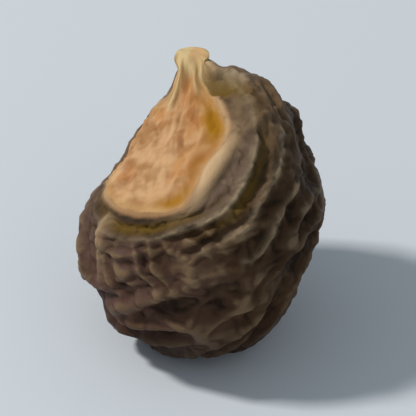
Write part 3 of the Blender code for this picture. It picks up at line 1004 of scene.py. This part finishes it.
# The husk: dark in the valleys, partly painted shade, brown between, and pale on the crests, partly
# worn and partly painted sheen
cloud = speckle(spot, *CLOUDS)
broad = speckle(spot, *BROAD_CLOUDS)
mottle = speckle(spot, *MOTTLES)
wrinkle = speckle(laid("lay", WRINKLE_LAY), *WRINKLES)
crest = add(look("crest"), scaled(cloud, *CLOUD_ON_CREST))
crest = add(crest, scaled(wrinkle, *WRINKLE_ON_CREST))
husk = paint(grade(crest, *BROWN_GRADE), VALLEY_BROWN_AND_SHADE, BROWN)
husk = paint(times(look("shoulder"), grade(mottle, *SHOULDER_GRADE)), husk, KHAKI)
across = speckle(laid("fan", BAND_LAY), *BAND_STREAKS)
band = paint(times(grade(across, *BAND_STREAK_GRADE), BAND_STREAK_SHARE), PLUM, BAND_STREAK)
husk = paint(times(look("band"), BAND_SHARE), husk, band)
husk = paint(times(grade(broad, *KHAKI_GRADE), KHAKI_SHARE), husk, KHAKI)
# A mauve tone on the low left crests: partly a bloom on the skin and partly painted sheen
mauve_bloom_and_sheen = times(grade(height, *MAUVE_BELOW), grade(rightward, *MAUVE_LEFT_OF))
mauve_bloom_and_sheen = times(mauve_bloom_and_sheen, grade(broad, *MAUVE_CLOUDS), grade(crest, *MAUVE_CRESTS), MAUVE_SHARE)
husk = paint(mauve_bloom_and_sheen, husk, MAUVE_BLOOM_AND_SHEEN)
husk = paint(grade(crest, *CREST_GRADE), husk, CREST_WEAR_AND_SHEEN)

# Ruddy low on the left, and painted shade low down and on the right
ruddy = scaled(grade(rightward, *RUDDY_LEFT_OF), *RUDDY_LEFT_SHARE)
ruddy = times(grade(height, *RUDDY_BELOW), ruddy, grade(broad, *RUDDY_CLOUDS))
husk = paint(ruddy, husk, RUDDY)
painted_shade_below = times(grade(height, *PAINTED_SHADE_BELOW), PAINTED_SHADE_BELOW_SHARE)
painted_shade_right = times(grade(rightward, *PAINTED_SHADE_RIGHT_OF), PAINTED_SHADE_RIGHT_SHARE)
husk = paint(calculate("MAXIMUM", painted_shade_below, painted_shade_right), husk, VALLEY_BROWN_AND_SHADE)

# The flesh: peach and tan fibres that fan out from the beak, honey at its edge, and a waxy strip
fibre = speckle(laid("fan", FIBRE_LAY), *FIBRES)
soft = speckle(spot, *FLESH_CLOUDS)
fibres_and_clouds = add(times(fibre, 0.5), times(soft, 0.5))
flesh = paint(grade(fibres_and_clouds, *PEACH_GRADE), TAN, PEACH)
patches = speckle(spot, *FLESH_PATCHES)
flesh = paint(times(grade(patches, *ORANGE_GRADE), ORANGE_SHARE), flesh, ORANGE)
streak = speckle(laid("fan", STREAK_LAY), *FLESH_STREAKS)
flesh = paint(times(grade(streak, *STAIN_GRADE), STAIN_SHARE), flesh, STAIN)
flesh = paint(times(grade(look("flesh"), *HONEY_DEPTH), HONEY_SHARE), flesh, HONEY)
flesh = paint(times(look("orange"), grade(soft, *EMBER_CLOUDS), EMBER_SHARE), flesh, EMBER)
flesh = paint(look("amber"), flesh, MUSTARD)

# Where the flesh ends, its edge wanders. The husk is tan beside it, with an olive groove, pale
# lines that are partly painted highlight, and a cream rim.
inner = add(look("flesh"), scaled(cloud, *EDGE_WANDER))
fleshy = grade(inner, *FLESH_START)
husk = paint(times(grade(inner, *EDGE_TAN_GRADE), EDGE_TAN_SHARE), husk, TAN)
husk = paint(times(look("olive"), grade(cloud, *OLIVE_CLOUDS)), husk, OLIVE)
husk = paint(times(look("line"), grade(cloud, *LINE_CLOUDS)), husk, PALE_LINE_AND_HIGHLIGHT)
colour = paint(fleshy, husk, flesh)
colour = paint(times(look("cream"), grade(mottle, *CREAM_MOTTLES)), colour, CREAM)

# The beak: straw strands, and a pinker tip on the right of its end
strands = speckle(laid("fan", BEAK_LAY), *BEAK_STRANDS)
straw = paint(grade(strands, *STRAW_GRADE), STRAW_GAP_COLOUR, STRAW)
fan_vector = node("ShaderNodeAttribute", attribute_name="fan").outputs["Vector"]
fan_place = node("ShaderNodeSeparateXYZ", {0: fan_vector})
tip = paint(grade(fan_place.outputs["X"], *TIP_RIGHT_GRADE), STRAW, TIP)
straw = paint(grade(fan_place.outputs["Z"], *BEAK_END_GRADE), straw, tip)
colour = paint(look("straw"), colour, straw)
tree.links.new(colour, surface.inputs["Base Color"])

# The shine
husky = calculate("SUBTRACT", 1.0, fleshy)
husk_roughness = grade(crest, *HUSK_ROUGHNESS, "LINEAR")
flesh_roughness = grade(look("amber"), *FLESH_ROUGHNESS)
roughness = add(times(husk_roughness, husky), times(flesh_roughness, fleshy))
tree.links.new(roughness, surface.inputs["Roughness"])
surface.inputs["Specular IOR Level"].default_value = SHINE

# Fine relief: pores and hair wrinkles on the husk, fibres on the flesh and the beak
pores = node(
    "ShaderNodeTexVoronoi", {"Vector": spot, "Scale": PORES_PER_METRE}, feature="DISTANCE_TO_EDGE"
).outputs["Distance"]
hair = calculate("ABSOLUTE", scaled(wrinkle, 2.0, -1.0))
husk_fine = add(times(grade(pores, *PORE_EDGE), PORE_RELIEF), times(hair, HAIR_RELIEF))
husk_fine = add(husk_fine, times(speckle(spot, *HUSK_GRAIN), HUSK_GRAIN_RELIEF))
flesh_fine = add(times(fibre, FIBRE_RELIEF), times(strands, STRAND_RELIEF))
flesh_fine = add(flesh_fine, times(speckle(spot, *FIBRE_GRAIN), FIBRE_GRAIN_RELIEF))
fibrous = calculate("MAXIMUM", fleshy, look("straw"))
leathery = calculate("SUBTRACT", 1.0, fibrous)
relief = add(times(husk_fine, leathery), times(flesh_fine, fibrous))
bump = node(
    "ShaderNodeBump", {"Height": relief, "Strength": RELIEF_STRENGTH, "Distance": RELIEF_DEPTH}
)
tree.links.new(bump.outputs["Normal"], surface.inputs["Normal"])
mesh.materials.append(finish)

# The floor: a plain pale matt sheet under the nut. It isn't part of the nut.
FLOOR_WIDTH = 3
FLOOR_COLOUR = (0.62, 0.66, 0.7, 1)
FLOOR_ROUGHNESS = 0.6
bpy.ops.mesh.primitive_plane_add(size=FLOOR_WIDTH)
floor = bpy.context.object
floor.name = "floor"
floor_finish = bpy.data.materials.new("pale_floor")
floor_finish.use_nodes = True
floor_surface = floor_finish.node_tree.nodes["Principled BSDF"]
floor_surface.inputs["Base Color"].default_value = FLOOR_COLOUR
floor_surface.inputs["Roughness"].default_value = FLOOR_ROUGHNESS
floor.data.materials.append(floor_finish)

# The camera: it looks down on the nut's front, along the photograph's line of sight, with a long
# lens that fills the frame with the one nut
CAMERA_ELEVATION = math.radians(36)
CAMERA_DISTANCE = 0.5
CAMERA_AIM = (cad_low + cad_high) / 2 + Vector((0.6 * MM, 0, 0.3 * MM))
camera = bpy.data.objects.new("camera", bpy.data.cameras.new("camera"))
bpy.context.scene.collection.objects.link(camera)
bpy.context.scene.camera = camera
back = Vector((0, -math.cos(CAMERA_ELEVATION), math.sin(CAMERA_ELEVATION)))
camera.location = CAMERA_AIM + CAMERA_DISTANCE * back
camera.rotation_mode = "QUATERNION"
camera.rotation_quaternion = (-back).to_track_quat("-Z", "Y")
camera.data.sensor_width = 36
camera.data.lens = 560
camera.data.clip_start = 0.01
camera.data.clip_end = 10

# The light: a soft lamp from the left and a little behind, a broad weak one from the front right,
# and a pale sky all round. Both lamps face the nut's middle.
LAMPS_FACE = Vector((0, 0, 0.01))


def lamp(name, position, size, power, colour):
    light = bpy.data.lights.new(name, "AREA")
    light.size = size
    light.energy = power
    light.color = colour
    stand = bpy.data.objects.new(name, light)
    bpy.context.scene.collection.objects.link(stand)
    stand.location = position
    stand.rotation_mode = "QUATERNION"
    stand.rotation_quaternion = (LAMPS_FACE - Vector(position)).to_track_quat("-Z", "Y")


lamp("left_lamp", position=(-0.5, 0.06, 0.6), size=0.1, power=4.7, colour=(1, 0.98, 0.95))
lamp("right_lamp", position=(0.3, -0.6, 0.5), size=0.6, power=0.5, colour=(0.9, 0.95, 1))
sky = bpy.data.worlds.new("sky")
bpy.context.scene.world = sky
sky.use_nodes = True
sky.node_tree.nodes["Background"].inputs["Color"].default_value = (0.85, 0.93, 1, 1)
sky.node_tree.nodes["Background"].inputs["Strength"].default_value = 0.38
bpy.context.scene.view_settings.view_transform = "Standard"
